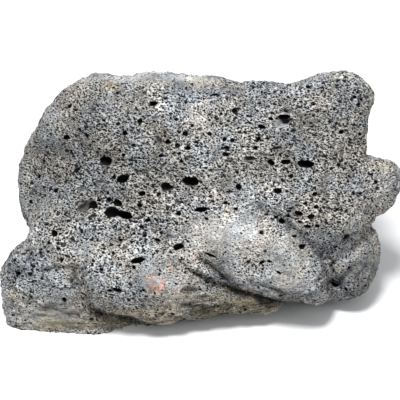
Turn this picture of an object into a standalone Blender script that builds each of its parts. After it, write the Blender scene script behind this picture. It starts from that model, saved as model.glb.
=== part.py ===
"""Lava rock: a loose boulder of vesicular basalt, modelled as the one closed solid that it is.

Metres, +Z up. The stone lies on a flat broken sole at z = 0 and the origin is on the sole, under the
middle of its box. Its broad pitted face looks towards -Y and leans back from upright.
"""

import math
import random

import bmesh
import bpy
import numpy as np
from mathutils import Matrix, Vector, noise

MM = 0.001

# Driving dimensions.
FACE_LEAN = math.radians(30)  # how far the broad face leans back from upright
FACE_HEIGHT = 80 * MM  # height of the face's middle above the sole
FACE_SHIFT = (-1.2 * MM, -20.0 * MM)  # along X and Y, so that the origin is under the middle of the stone
LOBE_VOXEL = 2.6 * MM  # grain at which the lobes of lava are welded into one body
BODY_TRIANGLES = 4000  # triangles of the body before any vesicle is cut
SOLE_DEPTH = 60 * MM  # thickness of the block that cuts the sole

# The face's own axes: places on it are (right, up, out) in millimetres from the face's middle.
FACE_RIGHT = Vector((1, 0, 0))
FACE_UP = Vector((0, math.sin(FACE_LEAN), math.cos(FACE_LEAN)))
FACE_OUT = Vector((0, -math.cos(FACE_LEAN), math.sin(FACE_LEAN)))
FACE_MIDDLE = Vector((*FACE_SHIFT, FACE_HEIGHT))
FACE_AXES = (FACE_RIGHT, FACE_UP, FACE_OUT)
BACK_AXES = (Vector((1, 0, 0)), Vector((0, 0, 1)), Vector((0, 1, 0)))


def on_face(right, up, out=0.0):
    """The point of the stone's frame at a place given in the face's axes, in millimetres."""
    return FACE_MIDDLE + MM * (right * FACE_RIGHT + up * FACE_UP + out * FACE_OUT)


def place_in(point, middle, axes):
    """The reverse, in any side's axes."""
    return [(point - middle).dot(axis) / MM for axis in axes]


# Lobes of lava. Each swelled out of the flow and welded to its neighbours: an outline on the face,
# the depth of its plane, how far it swells in front of that plane and behind it, how square its rim
# is, and how its plane tilts per millimetre to the right and up.
LOBES = {
    "block": {
        "outline": (
            (-131, -24), (-136, -13), (-139.5, -1), (-141, 12), (-138, 28), (-133, 37),
            (-127.5, 52), (-121, 62), (-115, 70), (-108.5, 78), (-102, 84.5), (-96, 90), (-84, 94),
            (-60, 89), (-30, 89), (-10, 88), (0, 84), (16, 82), (30, 88), (42, 91), (66, 88),
            (90, 89), (100, 94.5), (108, 101), (115, 98), (122, 94), (128, 88), (131, 80),
            (129, 70), (127, 58), (125, 46), (124, 34), (126, 10), (120, -22), (95, -50),
            (55, -66), (0, -70), (-60, -64), (-110, -48),
        ),
        "plane": -8, "front": 30, "back": 70, "square": 3.2, "tilt": (0.07, -0.06),
    },
    "crown": {
        "outline": (
            (-100, 60), (-98, 85), (-88, 95), (-79, 99.5), (-72, 97), (-60, 95.5), (-48, 95.5),
            (-30, 96.5), (-18, 97.5), (0, 95.5), (18, 94), (30, 90), (48, 86), (70, 70),
            (60, 40), (0, 30), (-60, 36),
        ),
        "plane": -36, "front": 26, "back": 40, "square": 2.8, "tilt": (0.0, 0.0),
    },
    "knob": {
        "outline": (
            (118, 34), (132, 31), (138, 30.5), (145, 29), (150, 23), (152, 14), (151, 5),
            (149, -3), (144, -9), (136, -14), (123, -24), (104, -22), (92, -8), (92, 14), (104, 28),
        ),
        "plane": -14, "front": 26, "back": 34, "square": 2.5, "tilt": (0.0, 0.0),
    },
    "right_swell": {
        "outline": (
            (50, 20), (84, 34), (112, 28), (128, 10), (132, -6), (128, -22), (114, -34),
            (100, -42), (84, -42), (66, -30), (52, -10),
        ),
        "plane": -9, "front": 32, "back": 24, "square": 2.4, "tilt": (-0.02, -0.16),
    },
    "toe": {
        "outline": (
            (124, -12), (135, -23), (138, -34), (137.5, -45), (135, -56), (131, -64), (125, -71),
            (117, -74.5), (109, -76.5), (100, -77.5), (88, -76.5), (78, -67), (76, -50), (84, -30),
            (104, -14),
        ),
        "plane": -12, "front": 27, "back": 40, "square": 2.4, "tilt": (-0.10, -0.10),
    },
    "apron": {
        "outline": (
            (-14, -34), (0, -43), (11, -51), (21, -60), (40, -67), (61, -71.5), (72, -73.5),
            (90, -77), (96, -70), (97, -54), (94, -41), (84, -24), (66, -2), (36, 14), (6, 16),
            (-16, 2), (-24, -18),
        ),
        "plane": -14, "front": 33, "back": 30, "square": 2.9, "tilt": (0.02, -0.26),
    },
    "brow": {
        "outline": (
            (-132, -28), (-121, -10), (-112, 4), (-98, 12), (-80, 14), (-50, 12), (-20, 10),
            (0, -10), (0, -34), (-24, -52), (-60, -60), (-104, -60), (-128, -46),
        ),
        "plane": -12, "front": 30, "back": 30, "square": 3.0, "tilt": (0.0, -0.16),
    },
    "foot": {
        "outline": (
            (-128, -25), (-131, -30), (-141, -37), (-146, -43), (-149.5, -51), (-150, -56),
            (-148, -64), (-147, -74), (-147, -85), (-147.5, -93), (-144, -101), (-126, -106),
            (-80, -106), (-60, -98), (-54, -76), (-66, -50), (-90, -28), (-112, -20),
        ),
        "plane": -12, "front": 30, "back": 56, "square": 2.6, "tilt": (0.02, -0.02),
    },
    "nose": {
        "outline": (
            (-86, -48), (-85, -66), (-78, -76), (-64, -82), (-49, -85), (-38, -89), (-29, -90),
            (-20, -90), (-12, -87), (-5, -87.5), (8, -86), (18, -83), (32, -82.5), (46, -82.5),
            (58.5, -81), (60.5, -76), (60, -68), (54, -56), (20, -40), (-8, -20), (-50, -14),
            (-80, -30),
        ),
        "plane": -14, "front": 30, "back": 30, "square": 4.6, "tilt": (-0.16, -0.14),
    },
    "shelf": {
        "outline": (
            (-96, -60), (-96, -110), (-66, -116), (-40, -116), (0, -110), (40, -106), (62, -102),
            (64.5, -84), (64, -70), (56, -50), (0, -40), (-60, -44),
        ),
        "plane": -36, "front": 29, "back": 50, "square": 6.0, "tilt": (-0.25, 0.0),
    },
}

# Vesicles, the burst gas bubbles, on the broad face: place (right, up) as seen from EYE_DISTANCE in
# front of the face's middle, half width, half height, and how far the long axis turns, in degrees.
EYE_DISTANCE = 1000
FACE_VESICLES = (
    (-84, -3, 6.0, 4.5, 25), (-66, -9, 5.0, 4.0, 0), (-57, -11, 6.5, 2.6, -8), (-62, -2, 3.4, 2.4, -10),
    (-71, 29, 4.5, 3.0, 0), (-58, 16, 4.1, 2.7, 20), (-7, 14, 6.0, 3.2, 8), (-26, 10, 3.6, 3.0, 0),
    (-43, 5, 2.4, 1.9, 0), (-92, 23, 2.4, 2.3, 0), (-108, 7, 2.4, 2.0, 0), (-109, -25, 3.5, 2.3, -15),
    (-115, -18, 2.3, 2.0, 0), (-24, 44, 2.1, 2.0, 0), (-9, 39, 2.4, 2.0, 0), (26, 67, 2.3, 2.0, 0),
    (64, 61, 6.5, 4.4, 10), (46, 55, 3.1, 2.0, -10), (57, 39, 3.4, 2.0, 0), (20, 39, 2.6, 1.8, 0),
    (37, 31, 4.4, 2.4, 0), (53, 28, 3.6, 2.1, -12), (65, 28, 3.5, 2.0, 0), (79, 27, 6.2, 2.8, 5),
    (29, 10, 2.8, 2.4, 0), (58, 7, 3.0, 2.1, 0), (86, 5, 2.3, 1.9, 0), (-16, -35, 4.2, 2.6, 0),
    (1, -7, 4.6, 2.0, 5), (61, -15, 2.5, 2.0, 0), (74, -10, 3.2, 2.0, 0), (84, -13, 2.7, 2.1, 0),
    (77, -35, 4.2, 2.1, -20), (-46, -45, 5.0, 2.0, 5), (-62, -67, 3.8, 1.9, -10), (106, 51, 2.4, 1.9, 0),
    (110, -28, 4.0, 3.0, 0), (98, -62, 4.6, 3.2, 0), (-112, 52, 2.2, 1.8, 0), (-86, 49, 2.4, 2.0, 0),
)
# Vesicles all over the rest of the stone: how many, their least and largest half width.
OTHER_VESICLES = ((24, 2.8, 5.8), (54, 1.8, 2.7))
VESICLE_DEPTH = 1.25  # depth over half width
VESICLE_SINK = 0.35  # how far the middle lies under the surface, over half width
VESICLE_GAP = 1.5  # least wall between two vesicles, in millimetres
FINE_VESICLE = 3.3  # half width past which a vesicle is cut with a finer shape
SEED = 7
FAR = 0.5  # where the straight lines that place them start, in metres from the stone's middle
FACE_EDGE = 0.25  # a surface whose normal leans this far towards the face's direction is the face's
MEET = 0.5  # least slope at which such a line may meet the surface, as a cosine
SOLE_MARGIN = 4  # vesicles stay this far above the sole, in millimetres

# The unseen rest of the stone, in its own frame: middle and half sizes in millimetres, and squareness.
BACK_MASSES = (
    ((-14, 18, 60), (116, 50, 76), 2.7),
    ((-64, 8, 36), (64, 54, 40), 2.5),
    ((60, 12, 46), (72, 50, 50), 2.5),
    ((-34, 60, 36), (58, 26, 34), 2.4),
    ((48, 54, 86), (48, 30, 34), 2.4),
    ((-80, 42, 82), (36, 32, 42), 2.3),
)

# Creases and swells pressed in afterwards: a path, half width and depth in millimetres. A negative
# depth swells. Paths on the face are in its axes, paths on the back in the stone's X and Z.
FACE_CREASES = (
    (((-142, 70), (-132, 30), (-128, 8)), 34, 13.0),
    (((-120, 84), (-100, 50)), 30, 4.0),
    (((-98, 0), (-72, -9), (-44, -6)), 12, 4.5),
    (((-127, -20), (-111, 3), (-93, 6)), 5, -2.5),
    (((-100, 40), (-70, 26), (-40, 12)), 16, 3.0),
    (((-40, 60), (-10, 44), (10, 20)), 18, -3.0),
    (((60, 70), (76, 50), (84, 30)), 16, -3.5),
    (((20, 60), (30, 40), (36, 26)), 12, 2.5),
    (((46, -6), (56, -14), (68, -23), (79, -34), (89, -40)), 5, 5.0),
    (((94, -38), (97, -52), (98, -66), (100, -76)), 5, 5.0),
    (((-15, -47), (-2, -54), (9, -61)), 3, 3.0),
    (((16, -60), (25, -67), (36, -71), (52, -75)), 5, 6.0),
    (((-91, -54), (-89, -66), (-83, -77), (-70, -84.5), (-58, -87), (-50, -88)), 4.5, 4.5),
    (((-72, -46), (-62, -52), (-46, -52)), 9, 3.0),
    (((126, -20), (112, -30), (104, -38)), 5, 6.0),
    (((-14, 86), (0, 80), (12, 78), (24, 84)), 7, 6.0),
    (((104, -63), (96, -61)), 8, 7.0),
    (((104, 74), (112, 50), (110, 20)), 9, 2.5),
)
BACK_CREASES = (
    (((-96, 74), (-44, 60), (8, 66), (52, 50), (104, 62)), 9, 7.0),
    (((-22, 16), (-4, 58), (8, 112)), 13, 5.0),
    (((62, 18), (84, 60), (78, 104)), 12, -4.0),
    (((-108, 22), (-74, 32), (-50, 12)), 9, 5.0),
    (((-60, 128), (-16, 118), (30, 128)), 10, 4.0),
)
# A side's creases begin at the first depth along its outward axis and are whole at the second.
FACE_REACH = (-40, -16)
BACK_REACH = (6, 34)

# Roughness of the broken surface: wavelength and height in millimetres.
ROUGHNESS = ((46, 3.2), (21, 1.7), (10, 0.9))


def lobe_points(bm, outline, squareness, to_point):
    """A closed swelling whose rim follows the outline: an icosphere, squared and stretched to it."""
    rim = np.array(outline, float)
    middle = rim.mean(axis=0).tolist()
    arms = rim - middle
    bearings = np.arctan2(arms[:, 1], arms[:, 0])
    reaches = np.hypot(arms[:, 0], arms[:, 1])
    ball = bmesh.ops.create_icosphere(bm, subdivisions=5, radius=1.0)
    for vert in ball["verts"]:
        across, along, deep = vert.co
        flat = math.hypot(across, along)
        swell = (flat**squareness + abs(deep) ** squareness) ** (-1 / squareness)
        reach = np.interp(math.atan2(along, across), bearings, reaches, period=2 * math.pi)
        spread = float(reach) * swell
        vert.co = to_point(middle[0] + across * spread, middle[1] + along * spread, deep * swell)


def add_lobe(bm, outline, plane, front, back, square, tilt):
    def to_point(right, up, deep):
        out = plane + tilt[0] * right + tilt[1] * up + deep * (front if deep > 0 else back)
        return on_face(right, up, out)

    lobe_points(bm, outline, square, to_point)


def add_back_mass(bm, middle, half_sizes, squareness):
    """A squared ellipsoid in the stone's own frame."""
    ball = bmesh.ops.create_icosphere(bm, subdivisions=5, radius=1.0)
    for vert in ball["verts"]:
        swell = sum(abs(c) ** squareness for c in vert.co) ** (-1 / squareness)
        vert.co = [MM * (m + h * c * swell) for m, h, c in zip(middle, half_sizes, vert.co)]


def evaluated(obj):
    """The object's mesh with its modifiers applied, as a new mesh."""
    bpy.context.view_layer.update()
    return bpy.data.meshes.new_from_object(obj.evaluated_get(bpy.context.evaluated_depsgraph_get()))


def apply_modifiers(obj):
    mesh = evaluated(obj)
    obj.modifiers.clear()
    old, obj.data = obj.data, mesh
    bpy.data.meshes.remove(old)


def object_of(bm, name):
    mesh = bpy.data.meshes.new(name)
    bm.to_mesh(mesh)
    bm.free()
    obj = bpy.data.objects.new(name, mesh)
    bpy.context.scene.collection.objects.link(obj)
    return obj


def distance_to_path(right, up, path):
    """Distance in millimetres from a place on the face to a polyline on it."""
    nearest = math.inf
    for (ax, ay), (bx, by) in zip(path, path[1:]):
        along = ((right - ax) * (bx - ax) + (up - ay) * (by - ay)) / ((bx - ax) ** 2 + (by - ay) ** 2)
        along = min(max(along, 0.0), 1.0)
        nearest = min(nearest, math.hypot(right - ax - along * (bx - ax), up - ay - along * (by - ay)))
    return nearest


def press_creases(obj, creases, middle, axes, reach):
    """Moves one side of the body inwards, deepest on each crease's path."""
    for vert in obj.data.vertices:
        right, up, out = place_in(vert.co, middle, axes)
        share = min(max((out - reach[0]) / (reach[1] - reach[0]), 0.0), 1.0)
        if not share:
            continue
        depth = 0.0
        for path, half_width, deep in creases:
            away = distance_to_path(right, up, path) / half_width
            depth += deep * math.exp(-away * away)
        vert.co -= share * depth * MM * axes[2]


def roughen(obj):
    """Broken lava: each wavelength of noise moves the surface along its normal."""
    normals = [vert.normal.copy() for vert in obj.data.vertices]
    for vert, normal in zip(obj.data.vertices, normals):
        height = sum(
            tall * noise.noise(vert.co / (wavelength * MM) + Vector((wavelength, 0, 0)))
            for wavelength, tall in ROUGHNESS
        )
        vert.co += height * MM * normal


def beyond(obj, start, aim):
    """Where a straight line from start towards aim first meets the object, and the surface's normal."""
    found, place, normal, _ = obj.ray_cast(start, (aim - start).normalized())
    return (place, normal) if found else (None, None)


def triangle_count(mesh):
    mesh.calc_loop_triangles()
    return len(mesh.loop_triangles)


def cut_sole(body):
    """The stone broke off flat below: everything under z = 0 is cut away."""
    bm = bmesh.new()
    below = Matrix.Translation((0, 0, -SOLE_DEPTH / 2)) @ Matrix.Diagonal((0.5, 0.5, SOLE_DEPTH, 1))
    bmesh.ops.create_cube(bm, size=1.0, matrix=below)
    cutter = object_of(bm, "ground")
    subtract(body, cutter)


def subtract(body, cutter):
    cut = body.modifiers.new("cut", "BOOLEAN")
    cut.operation = "DIFFERENCE"
    cut.solver = "EXACT"
    cut.use_self = True
    cut.object = cutter
    apply_modifiers(body)
    bpy.data.objects.remove(cutter)


def vesicle_frame(normal, turn):
    """Axes of a vesicle: level along the surface, up along it, and inwards."""
    across = Vector((0, 0, 1)).cross(normal)
    across = across.normalized() if across.length > 0.1 else Vector((1, 0, 0))
    along = normal.cross(across).normalized()
    turned = Matrix.Rotation(math.radians(turn), 3, normal)
    return turned @ across, turned @ along, normal


def pick_vesicles(body):
    """Every vesicle as (place, normal, half width, half height, turn), none touching another."""
    eye = on_face(0, 0, EYE_DISTANCE)
    vesicles = []
    for right, up, half_width, half_height, turn in FACE_VESICLES:
        place, normal = beyond(body, eye, on_face(right, up))
        vesicles.append((place, normal, half_width, half_height, turn))
    dice = random.Random(SEED)
    places = np.array([vert.co for vert in body.data.vertices])
    low, high = places.min(axis=0).tolist(), places.max(axis=0).tolist()
    middle = (Vector(low) + Vector(high)) / 2
    for count, least, largest in OTHER_VESICLES:
        wanted = len(vesicles) + count
        while len(vesicles) < wanted:
            start = middle + Vector([dice.gauss(0, 1) for _ in range(3)]).normalized() * FAR
            aim = middle + Vector([dice.uniform(-side, side) for side in (Vector(high) - middle)]) * 0.8
            place, normal = beyond(body, start, aim)
            half_width = least * (largest / least) ** (dice.random() ** 2)
            half_height = half_width * dice.uniform(0.55, 0.95)
            turn = dice.gauss(0, 14)
            if place is None or place.z < (SOLE_MARGIN + half_width) * MM:
                continue
            if normal.dot((start - place).normalized()) < MEET or normal.dot(FACE_OUT) > FACE_EDGE:
                continue
            if all((place - other).length > MM * (half_width + width + VESICLE_GAP)
                   for other, _, width, _, _ in vesicles):
                vesicles.append((place, normal, half_width, half_height, turn))
    return vesicles


def cut_vesicles(body):
    """Cuts every vesicle out of the body as a small ellipsoid; the larger ones have more faces."""
    bm = bmesh.new()
    for place, normal, half_width, half_height, turn in pick_vesicles(body):
        across, along, outwards = vesicle_frame(normal, turn)
        axes = Matrix((across, along, outwards)).transposed()
        sizes = Matrix.Diagonal((half_width, half_height, half_width * VESICLE_DEPTH))
        sunk = place - outwards * half_width * VESICLE_SINK * MM
        shape = Matrix.Translation(sunk) @ (axes @ sizes * MM).to_4x4()
        fine = 2 if half_width > FINE_VESICLE else 1
        bmesh.ops.create_icosphere(bm, subdivisions=fine, radius=1.0, matrix=shape)
    subtract(body, object_of(bm, "vesicles"))


def make_body():
    """The whole stone without its vesicles: lobes welded, creased, roughened and cut flat below."""
    bm = bmesh.new()
    for form in LOBES.values():
        add_lobe(bm, **form)
    for middle, half_sizes, squareness in BACK_MASSES:
        add_back_mass(bm, middle, half_sizes, squareness)
    body = object_of(bm, "lava_rock")
    weld = body.modifiers.new("weld", "REMESH")
    weld.mode = "VOXEL"
    weld.voxel_size = LOBE_VOXEL
    ease = body.modifiers.new("ease", "SMOOTH")
    ease.factor = 0.5
    ease.iterations = 4
    apply_modifiers(body)
    press_creases(body, FACE_CREASES, FACE_MIDDLE, FACE_AXES, FACE_REACH)
    press_creases(body, BACK_CREASES, Vector(), BACK_AXES, BACK_REACH)
    roughen(body)
    thin = body.modifiers.new("thin", "DECIMATE")
    thin.ratio = BODY_TRIANGLES / triangle_count(body.data)
    apply_modifiers(body)
    cut_sole(body)
    return body


def clear_scene():
    for obj in list(bpy.data.objects):
        bpy.data.objects.remove(obj)


def basalt():
    material = bpy.data.materials.new("basalt")
    material.use_nodes = True
    shader = material.node_tree.nodes["Principled BSDF"]
    shader.inputs["Base Color"].default_value = (0.30, 0.29, 0.27, 1)
    shader.inputs["Roughness"].default_value = 0.95
    return material


clear_scene()
stone = make_body()
cut_vesicles(stone)
stone.data.materials.append(basalt())
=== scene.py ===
"""Lava rock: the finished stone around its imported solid, on a pale floor in soft studio light."""

import math
import random
from collections import namedtuple
from itertools import product

import bmesh
import bpy
import numpy as np
from mathutils import Matrix, Vector, noise
from mathutils.bvhtree import BVHTree
from mathutils.kdtree import KDTree


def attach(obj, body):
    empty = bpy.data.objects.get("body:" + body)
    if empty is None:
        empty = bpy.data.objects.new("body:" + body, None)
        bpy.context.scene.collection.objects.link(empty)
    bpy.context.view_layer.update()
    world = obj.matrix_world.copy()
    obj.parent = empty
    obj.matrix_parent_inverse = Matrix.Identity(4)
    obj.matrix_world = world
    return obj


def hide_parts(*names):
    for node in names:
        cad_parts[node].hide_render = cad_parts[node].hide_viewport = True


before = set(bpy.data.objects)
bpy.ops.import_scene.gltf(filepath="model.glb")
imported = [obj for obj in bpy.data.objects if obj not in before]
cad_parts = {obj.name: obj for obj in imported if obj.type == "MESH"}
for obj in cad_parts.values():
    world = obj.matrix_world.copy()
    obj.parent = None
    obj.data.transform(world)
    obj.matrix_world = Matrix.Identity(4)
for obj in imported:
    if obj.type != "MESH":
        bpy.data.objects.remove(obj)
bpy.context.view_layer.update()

# ---- The stone: its mass -------------------------------------------------------------------------
# One lump of basalt lava, made of the lobes that swelled out of the flow and welded to each other.
# It is one closed mesh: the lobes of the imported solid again, at a finer grain, with the wrinkles,
# drips and broken roughness that the solid leaves out, cut flat below.
MM = 0.001  # the tables are in millimetres, the scene in metres
FACE_LEAN = math.radians(30)
FACE_HEIGHT = 80 * MM
FACE_SHIFT = (-1.2 * MM, -20.0 * MM)
FACE_MIDDLE = np.array((*FACE_SHIFT, FACE_HEIGHT))
# Rows are a side's own axes: right, up and outwards. The broad face leans back from upright.
FACE_AXES = np.array(
    (
        (1, 0, 0),
        (0, math.sin(FACE_LEAN), math.cos(FACE_LEAN)),
        (0, -math.cos(FACE_LEAN), math.sin(FACE_LEAN)),
    )
)
BACK_AXES = np.array(((1, 0, 0), (0, 0, 1), (0, 1, 0)))
# A normal this far round to the face's way starts to count as the face's, and this much further in full.
FACE_START = 0.05
FACE_BLEND = 0.35

# Outlines are (right, up) on the face in millimetres; then the depth of the lobe's plane, its swell
# before and behind it, the squareness of its rim, and the plane's tilt per millimetre.
LOBES = {
    "block": {
        "outline": (
            (-131, -24), (-136, -13), (-139.5, -1), (-141, 12), (-138, 28), (-133, 37),
            (-127.5, 52), (-121, 62), (-115, 70), (-108.5, 78), (-102, 84.5), (-96, 90), (-84, 94),
            (-60, 89), (-30, 89), (-10, 88), (0, 84), (16, 82), (30, 88), (42, 91), (66, 88),
            (90, 89), (100, 94.5), (108, 101), (115, 98), (122, 94), (128, 88), (131, 80),
            (129, 70), (127, 58), (125, 46), (124, 34), (126, 10), (120, -22), (95, -50),
            (55, -66), (0, -70), (-60, -64), (-110, -48),
        ),
        "plane": -8, "front": 30, "back": 70, "square": 3.2, "tilt": (0.07, -0.06),
    },
    "crown": {
        "outline": (
            (-100, 60), (-98, 85), (-88, 95), (-79, 99.5), (-72, 97), (-60, 95.5), (-48, 95.5),
            (-30, 96.5), (-18, 97.5), (0, 95.5), (18, 94), (30, 90), (48, 86), (70, 70),
            (60, 40), (0, 30), (-60, 36),
        ),
        "plane": -36, "front": 26, "back": 40, "square": 2.8, "tilt": (0, 0),
    },
    "knob": {
        "outline": (
            (118, 34), (132, 31), (138, 30.5), (145, 29), (150, 23), (152, 14), (151, 5),
            (149, -3), (144, -9), (136, -14), (123, -24), (104, -22), (92, -8), (92, 14), (104, 28),
        ),
        "plane": -14, "front": 26, "back": 34, "square": 2.5, "tilt": (0, 0),
    },
    "right_swell": {
        "outline": (
            (50, 20), (84, 34), (112, 28), (128, 10), (132, -6), (128, -22), (114, -34),
            (100, -42), (84, -42), (66, -30), (52, -10),
        ),
        "plane": -9, "front": 32, "back": 24, "square": 2.4, "tilt": (-0.02, -0.16),
    },
    "toe": {
        "outline": (
            (124, -12), (135, -23), (138, -34), (137.5, -45), (135, -56), (131, -64), (125, -71),
            (117, -74.5), (109, -76.5), (100, -77.5), (88, -76.5), (78, -67), (76, -50), (84, -30),
            (104, -14),
        ),
        "plane": -12, "front": 27, "back": 40, "square": 2.4, "tilt": (-0.10, -0.10),
    },
    "apron": {
        "outline": (
            (-14, -34), (0, -43), (11, -51), (21, -60), (40, -67), (61, -71.5), (72, -73.5),
            (90, -77), (96, -70), (97, -54), (94, -41), (84, -24), (66, -2), (36, 14), (6, 16),
            (-16, 2), (-24, -18),
        ),
        "plane": -14, "front": 33, "back": 30, "square": 2.9, "tilt": (0.02, -0.26),
    },
    "brow": {
        "outline": (
            (-132, -28), (-121, -10), (-112, 4), (-98, 12), (-80, 14), (-50, 12), (-20, 10),
            (0, -10), (0, -34), (-24, -52), (-60, -60), (-104, -60), (-128, -46),
        ),
        "plane": -12, "front": 30, "back": 30, "square": 3, "tilt": (0, -0.16),
    },
    "foot": {
        "outline": (
            (-128, -25), (-131, -30), (-141, -37), (-146, -43), (-149.5, -51), (-150, -56),
            (-148, -64), (-147, -74), (-147, -85), (-147.5, -93), (-144, -101), (-126, -106),
            (-80, -106), (-60, -98), (-54, -76), (-66, -50), (-90, -28), (-112, -20),
        ),
        "plane": -12, "front": 30, "back": 56, "square": 2.6, "tilt": (0.02, -0.02),
    },
    "nose": {
        "outline": (
            (-86, -48), (-85, -66), (-78, -76), (-64, -82), (-49, -85), (-38, -89), (-29, -90),
            (-20, -90), (-12, -87), (-5, -87.5), (8, -86), (18, -83), (32, -82.5), (46, -82.5),
            (58.5, -81), (60.5, -76), (60, -68), (54, -56), (20, -40), (-8, -20), (-50, -14),
            (-80, -30),
        ),
        "plane": -14, "front": 30, "back": 30, "square": 4.6, "tilt": (-0.16, -0.14),
    },
    "shelf": {
        "outline": (
            (-96, -60), (-96, -110), (-66, -116), (-40, -116), (0, -110), (40, -106), (62, -102),
            (64.5, -84), (64, -70), (56, -50), (0, -40), (-60, -44),
        ),
        "plane": -36, "front": 29, "back": 50, "square": 6, "tilt": (-0.25, 0),
    },
}

# The unseen rest of the stone, in its own frame: middle and half sizes in millimetres, and squareness.
BACK_MASSES = (
    ((-14, 18, 60), (116, 50, 76), 2.7),
    ((-64, 8, 36), (64, 54, 40), 2.5),
    ((60, 12, 46), (72, 50, 50), 2.5),
    ((-34, 60, 36), (58, 26, 34), 2.4),
    ((48, 54, 86), (48, 30, 34), 2.4),
    ((-80, 42, 82), (36, 32, 42), 2.3),
)
BALL_CUTS = 5  # how often the ball that a lobe or a mass starts from is subdivided
GRAIN = 1.15 * MM  # voxel at which the lobes are welded

# A path, half width and depth in millimetres; a negative depth swells.
FACE_CREASES = (
    (((-142, 70), (-132, 30), (-128, 8)), 34, 13),
    (((-120, 84), (-100, 50)), 30, 4),
    (((-98, 0), (-72, -9), (-44, -6)), 12, 4.5),
    (((-127, -20), (-111, 3), (-93, 6)), 5, -2.5),
    (((-100, 40), (-70, 26), (-40, 12)), 16, 3),
    (((-40, 60), (-10, 44), (10, 20)), 18, -3),
    (((60, 70), (76, 50), (84, 30)), 16, -3.5),
    (((20, 60), (30, 40), (36, 26)), 12, 2.5),
    (((46, -6), (56, -14), (68, -23), (79, -34), (89, -40)), 5, 5),
    (((94, -38), (97, -52), (98, -66), (100, -76)), 5, 5),
    (((-15, -47), (-2, -54), (9, -61)), 3, 3),
    (((16, -60), (25, -67), (36, -71), (52, -75)), 5, 6),
    (((-91, -54), (-89, -66), (-83, -77), (-70, -84.5), (-58, -87), (-50, -88)), 4.5, 4.5),
    (((-72, -46), (-62, -52), (-46, -52)), 9, 3),
    (((126, -20), (112, -30), (104, -38)), 5, 6),
    (((-14, 86), (0, 80), (12, 78), (24, 84)), 7, 6),
    (((104, -63), (96, -61)), 8, 7),
    (((104, 74), (112, 50), (110, 20)), 9, 2.5),
)
BACK_CREASES = (
    (((-96, 74), (-44, 60), (8, 66), (52, 50), (104, 62)), 9, 7),
    (((-22, 16), (-4, 58), (8, 112)), 13, 5),
    (((62, 18), (84, 60), (78, 104)), 12, -4),
    (((-108, 22), (-74, 32), (-50, 12)), 9, 5),
    (((-60, 128), (-16, 118), (30, 128)), 10, 4),
)
# A side's creases begin at the first depth along its outward axis and are whole at the second.
FACE_REACH = (-40, -16)
BACK_REACH = (6, 34)

# Wrinkles of the cooling skin, finer than the solid shows: along the apron's edge, round the nose,
# on the toe and under the right swell. They are given as the creases are; where two numbers more
# follow, painted shade lies in them, dark as shadow in a crease, and these are its half width
# and strength.
WRINKLES = (
    (((8, -53), (14, -58), (25, -61.5), (35, -66), (47, -69), (61, -72)), 1.8, -2.6),
    (((17, -63.5), (26, -66.5), (35, -69), (46, -71.5), (61, -74.5)), 2.4, 5.5, 1.8, 0.95),
    (((-12, -47), (-7, -52), (2, -57.5), (13, -62.5)), 1.3, 3.6, 1.1, 0.95),
    (((-7, -48.5), (2, -53), (10, -58), (17, -61.5)), 1.7, -2.2),
    (((-2, -42), (5, -46.5), (13, -53), (17, -57)), 2.3, 3.2, 2.3, 0.75),
    (((14, -43.5), (20, -49.5), (25, -55.5), (31, -60)), 1.8, -2),
    (((36, -59), (46, -62.5), (53, -64.5), (61, -68)), 2, 2.4, 1.7, 0.7),
    (((-13, -66), (-6, -66.5), (0, -66)), 1.2, 2, 0.9, 0.8),
    (((-12, -77), (-4, -77.5), (2, -77)), 1.3, 2, 1.1, 0.8),
    (((-22, -85), (-14, -86)), 1.2, 1.6, 0.9, 0.7),
    (((-2, -71), (6, -72)), 1.4, 1.8),
    (((-40, -85), (-20, -81), (0, -77), (24, -74)), 1.6, -1.4),
    (((-36, -91), (-10, -84), (20, -81), (44, -79)), 1.6, 1.8),
    (((-86, -50), (-88, -60), (-86, -69), (-80, -77), (-68, -82), (-50, -84)), 2.2, -2.4),
    (((-92, -56), (-92, -66), (-88, -74)), 2.4, 2.6),
    (((-62, -58), (-56, -62), (-55, -69), (-60, -73)), 1.8, -1.4),
    (((-60, -88), (-50, -88.5)), 1.4, 2.4, 1.2, 0.9),
    (((-116, -53), (-104, -50), (-92, -50)), 1.4, 1.8, 0.9, 0.5),
    (((-122, -62), (-104, -66), (-92, -66)), 1.8, 1.6),
    (((-130, -76), (-108, -82), (-90, -84)), 2, 1.8),
    (((94, -61), (100, -61.5), (105, -63)), 1.8, 5, 1.6, 0.95),
    (((89, -41), (92, -53), (95, -60), (94, -69)), 1.6, 3.2, 1, 0.7),
    (((95, -43), (98, -43.5), (99.5, -46), (99, -48.5), (97, -47)), 0.9, 2, 0.7, 0.9),
    (((97, -37), (103, -33), (107, -30), (110, -27), (117, -25)), 2.2, 3.5),
    (((121, -27), (125, -30), (128, -33)), 1.7, 2.6, 1.5, 0.7),
    (((105, -60), (108, -55), (113, -51), (120, -48)), 2.4, 2.4),
    (((98, -70), (106, -72), (113, -70)), 1.6, 1.8),
    (((127, -40), (124, -50), (116, -58)), 1.8, 1.8),
    (((46, -6), (58, -13), (72, -25), (84, -35), (90, -45)), 1.8, 2.4),
)

# Ropes: threads drawn out along the flow's edges, as a path, half width and strength.
ROPES = (
    (((-18, -44), (-8, -50), (4, -56), (16, -61.5), (34, -67), (48, -71), (61, -74)), 8, 1),
    (((-85, -44), (-88, -60), (-85, -70), (-77, -78), (-62, -83), (-46, -85)), 6, 0.8),
    (((-64, -92), (-40, -88), (-20, -82), (0, -76), (22, -71)), 7, 1),
    (((-44, -95), (-12, -87), (20, -82), (44, -79), (60, -76)), 6, 1),
    (((-128, -58), (-108, -53), (-92, -52)), 5, 0.6),
    (((-140, -70), (-112, -76), (-92, -80)), 7, 0.6),
    (((88, -36), (92, -50), (94, -62), (93, -72)), 4, 0.7),
    (((60, -78), (90, -79), (112, -78), (128, -70)), 5, 0.7),
    (((118, -18), (127, -30), (131, -46), (127, -62)), 5, 0.5),
)

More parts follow.
